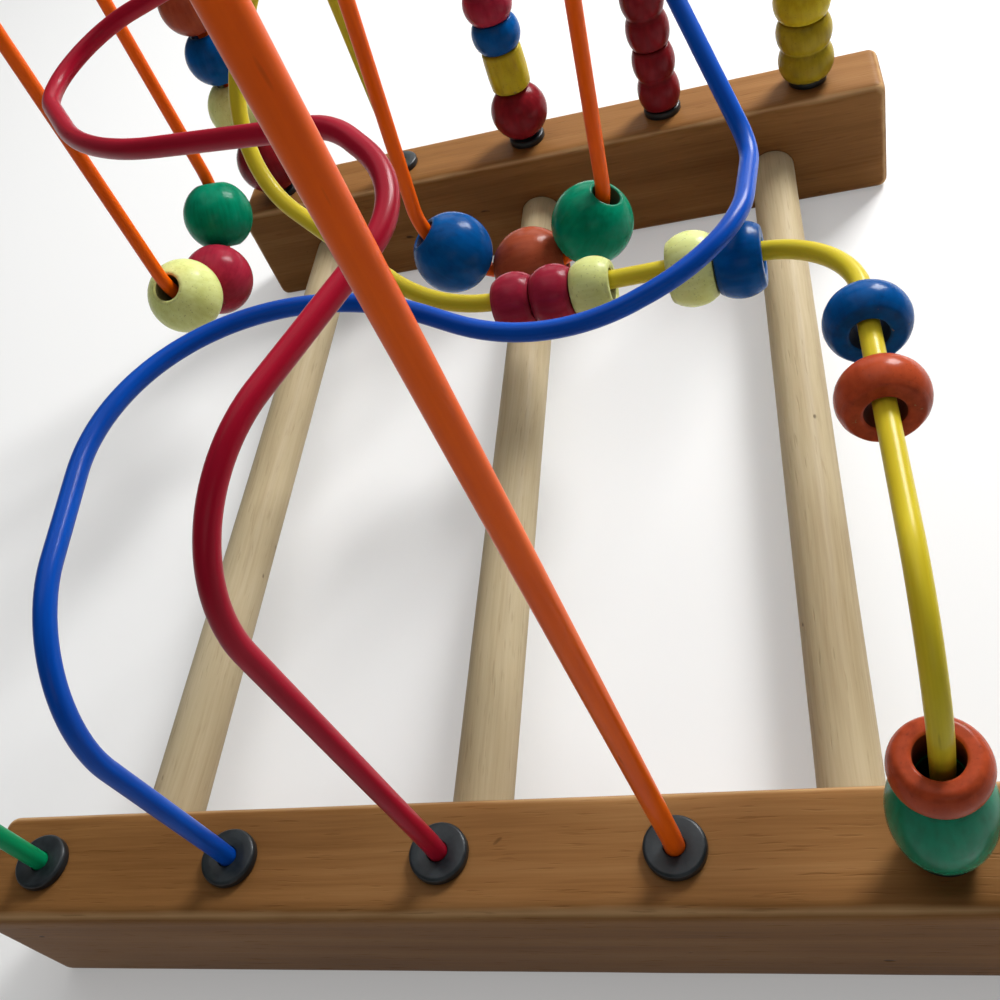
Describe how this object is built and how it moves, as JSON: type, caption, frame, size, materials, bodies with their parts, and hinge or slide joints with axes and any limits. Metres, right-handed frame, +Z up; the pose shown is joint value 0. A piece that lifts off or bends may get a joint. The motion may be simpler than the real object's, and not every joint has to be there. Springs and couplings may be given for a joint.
{
  "type": "bead maze",
  "caption": "Wooden bead maze: rails joined by dowels carry looping coloured wires strung with sliding lacquered beads.",
  "frame": {"origin": "middle of the space between the two rails, on the table that the rails stand on", "axes": "+X along the rails, +Y from the near rail to the far rail, +Z up"},
  "size_m": [0.2609, 0.318, 0.3023],
  "materials": {
    "rail_wood": "hardwood under worn satin varnish, fine long grain",
    "dowel_wood": "pale hardwood under satin varnish",
    "collar_black": "moulded black plastic, slightly worn gloss",
    "coat_green": "steel wire with a glossy green plastic coat",
    "coat_blue": "steel wire with a glossy blue plastic coat",
    "coat_red": "steel wire with a glossy crimson plastic coat",
    "coat_orange": "steel wire with a glossy orange plastic coat",
    "coat_yellow": "steel wire with a glossy yellow plastic coat",
    "lacquer_green": "turned wood under glossy green lacquer",
    "lacquer_blue": "turned wood under glossy blue lacquer",
    "lacquer_pale": "turned wood under glossy pale yellow lacquer",
    "lacquer_crimson": "turned wood under glossy crimson lacquer",
    "lacquer_brown": "turned wood under glossy red-brown lacquer",
    "lacquer_orange": "turned wood under glossy orange lacquer",
    "lacquer_dark_red": "turned wood under glossy dark red lacquer",
    "lacquer_yellow": "turned wood under glossy yellow lacquer",
    "lacquer_olive": "turned wood under glossy yellow-green lacquer"
  },
  "bodies": {
    "frame": {"near_rail": "rail_wood", "far_rail": "rail_wood", "left_dowel": "dowel_wood", "middle_dowel": "dowel_wood", "right_dowel": "dowel_wood", "near_collar_1": "collar_black", "near_collar_2": "collar_black", "near_collar_3": "collar_black", "near_collar_4": "collar_black", "near_collar_5": "collar_black", "far_collar_1": "collar_black", "far_collar_2": "collar_black", "far_collar_3": "collar_black", "far_collar_4": "collar_black", "far_collar_5": "collar_black", "green_wire": "coat_green", "blue_wire": "coat_blue", "red_wire": "coat_red", "orange_wire": "coat_orange", "yellow_wire": "coat_yellow"},
    "green_barrel_bead": {"green_barrel_bead": "lacquer_green"},
    "orange_ring_bead": {"orange_ring_bead": "lacquer_orange"},
    "orange_rondelle_bead": {"orange_rondelle_bead": "lacquer_orange"},
    "blue_rondelle_bead": {"blue_rondelle_bead": "lacquer_blue"},
    "blue_drum_bead": {"blue_drum_bead": "lacquer_blue"},
    "pale_drum_bead": {"pale_drum_bead": "lacquer_pale"},
    "pale_button_bead": {"pale_button_bead": "lacquer_pale"},
    "crimson_button_bead": {"crimson_button_bead": "lacquer_crimson"},
    "end_crimson_button_bead": {"end_crimson_button_bead": "lacquer_crimson"},
    "front_loop_green_ball": {"front_loop_green_ball": "lacquer_green"},
    "front_loop_brown_ball": {"front_loop_brown_ball": "lacquer_brown"},
    "front_loop_blue_ball": {"front_loop_blue_ball": "lacquer_blue"},
    "side_loop_pale_ball": {"side_loop_pale_ball": "lacquer_pale"},
    "side_loop_crimson_ball": {"side_loop_crimson_ball": "lacquer_crimson"},
    "side_loop_green_ball": {"side_loop_green_ball": "lacquer_green"},
    "corner_dark_red_ball": {"corner_dark_red_ball": "lacquer_dark_red"},
    "corner_pale_ball": {"corner_pale_ball": "lacquer_pale"},
    "corner_blue_ball": {"corner_blue_ball": "lacquer_blue"},
    "corner_brown_ball": {"corner_brown_ball": "lacquer_brown"},
    "middle_dark_red_ball": {"middle_dark_red_ball": "lacquer_dark_red"},
    "middle_yellow_cylinder": {"middle_yellow_cylinder": "lacquer_yellow"},
    "middle_blue_drum": {"middle_blue_drum": "lacquer_blue"},
    "middle_crimson_drum": {"middle_crimson_drum": "lacquer_crimson"},
    "lower_red_spool": {"lower_red_spool": "lacquer_dark_red"},
    "upper_red_spool": {"upper_red_spool": "lacquer_dark_red"},
    "lower_olive_spool": {"lower_olive_spool": "lacquer_olive"},
    "upper_yellow_spool": {"upper_yellow_spool": "lacquer_yellow"}
  },
  "joints": [
    {"name": "green_barrel_bead_slide", "type": "slide", "parent": "frame", "child": "green_barrel_bead", "axis": [-0.0458, 0, 0.999], "range_m": [0, 0.005]},
    {"name": "orange_ring_bead_slide", "type": "slide", "parent": "green_barrel_bead", "child": "orange_ring_bead", "axis": [-0.0458, 0, 0.999], "range_m": [0, 0.005]},
    {"name": "orange_rondelle_bead_slide", "type": "slide", "parent": "frame", "child": "orange_rondelle_bead", "axis": [0.0046, 0.9971, -0.0761], "range_m": [-0.024, 0.004]},
    {"name": "blue_rondelle_bead_slide", "type": "slide", "parent": "frame", "child": "blue_rondelle_bead", "axis": [0.0046, 0.9971, -0.0761], "range_m": [-0.008, 0.004]},
    {"name": "blue_drum_bead_spin", "type": "hinge", "parent": "frame", "child": "blue_drum_bead", "pos_m": [0.07683, -0.02649, 0.10388], "axis": [-0.9975, 0.0423, -0.0572], "continuous": true},
    {"name": "pale_drum_bead_spin", "type": "hinge", "parent": "frame", "child": "pale_drum_bead", "pos_m": [0.06556, -0.02601, 0.10324], "axis": [-0.9975, 0.0423, -0.0572], "continuous": true},
    {"name": "end_crimson_button_bead_slide", "type": "slide", "parent": "frame", "child": "end_crimson_button_bead", "axis": [0.9975, -0.0423, 0.0572], "range_m": [0, 0.003]},
    {"name": "crimson_button_bead_slide", "type": "slide", "parent": "end_crimson_button_bead", "child": "crimson_button_bead", "axis": [0.9975, -0.0423, 0.0572], "range_m": [0, 0.003]},
    {"name": "pale_button_bead_slide", "type": "slide", "parent": "crimson_button_bead", "child": "pale_button_bead", "axis": [0.9975, -0.0423, 0.0572], "range_m": [0, 0.004]},
    {"name": "front_loop_brown_ball_swing", "type": "hinge", "parent": "frame", "child": "front_loop_brown_ball", "pos_m": [0.00722, 0.0464, 0.08579], "axis": [0, 1, 0], "range_deg": [-4, 16]},
    {"name": "front_loop_green_ball_swing", "type": "hinge", "parent": "front_loop_brown_ball", "child": "front_loop_green_ball", "pos_m": [0.00722, 0.0464, 0.08579], "axis": [0, 1, 0], "range_deg": [-20, 0]},
    {"name": "front_loop_blue_ball_swing", "type": "hinge", "parent": "front_loop_brown_ball", "child": "front_loop_blue_ball", "pos_m": [0.00722, 0.0464, 0.08579], "axis": [0, 1, 0], "range_deg": [0, 20]},
    {"name": "side_loop_crimson_ball_swing", "type": "hinge", "parent": "frame", "child": "side_loop_crimson_ball", "pos_m": [-0.11794, 0.07468, 0.08377], "axis": [1, 0, 0], "range_deg": [-10, 10]},
    {"name": "side_loop_pale_ball_swing", "type": "hinge", "parent": "side_loop_crimson_ball", "child": "side_loop_pale_ball", "pos_m": [-0.11794, 0.07468, 0.08377], "axis": [1, 0, 0], "range_deg": [-20, 0]},
    {"name": "side_loop_green_ball_swing", "type": "hinge", "parent": "side_loop_crimson_ball", "child": "side_loop_green_ball", "pos_m": [-0.11794, 0.07468, 0.08377], "axis": [1, 0, 0], "range_deg": [0, 20]},
    {"name": "corner_dark_red_ball_slide", "type": "slide", "parent": "frame", "child": "corner_dark_red_ball", "axis": [0, 0, 1], "range_m": [0, 0.02]},
    {"name": "corner_pale_ball_slide", "type": "slide", "parent": "corner_dark_red_ball", "child": "corner_pale_ball", "axis": [0, 0, 1], "range_m": [0, 0.02]},
    {"name": "corner_blue_ball_slide", "type": "slide", "parent": "corner_pale_ball", "child": "corner_blue_ball", "axis": [0, 0, 1], "range_m": [0, 0.02]},
    {"name": "corner_brown_ball_slide", "type": "slide", "parent": "corner_blue_ball", "child": "corner_brown_ball", "axis": [0, 0, 1], "range_m": [0, 0.02]},
    {"name": "middle_dark_red_ball_slide", "type": "slide", "parent": "frame", "child": "middle_dark_red_ball", "axis": [0, 0, 1], "range_m": [0, 0.022]},
    {"name": "middle_yellow_cylinder_slide", "type": "slide", "parent": "middle_dark_red_ball", "child": "middle_yellow_cylinder", "axis": [0, 0, 1], "range_m": [0, 0.022]},
    {"name": "middle_blue_drum_slide", "type": "slide", "parent": "middle_yellow_cylinder", "child": "middle_blue_drum", "axis": [0, 0, 1], "range_m": [0, 0.022]},
    {"name": "middle_crimson_drum_slide", "type": "slide", "parent": "middle_blue_drum", "child": "middle_crimson_drum", "axis": [0, 0, 1], "range_m": [0, 0.022]},
    {"name": "lower_red_spool_slide", "type": "slide", "parent": "frame", "child": "lower_red_spool", "axis": [0, 0, 1], "range_m": [0, 0.06]},
    {"name": "upper_red_spool_slide", "type": "slide", "parent": "lower_red_spool", "child": "upper_red_spool", "axis": [0, 0, 1], "range_m": [0, 0.06]},
    {"name": "lower_olive_spool_slide", "type": "slide", "parent": "frame", "child": "lower_olive_spool", "axis": [0, 0, 1], "range_m": [0, 0.05]},
    {"name": "upper_yellow_spool_slide", "type": "slide", "parent": "lower_olive_spool", "child": "upper_yellow_spool", "axis": [0, 0, 1], "range_m": [0, 0.05]}
  ]
}
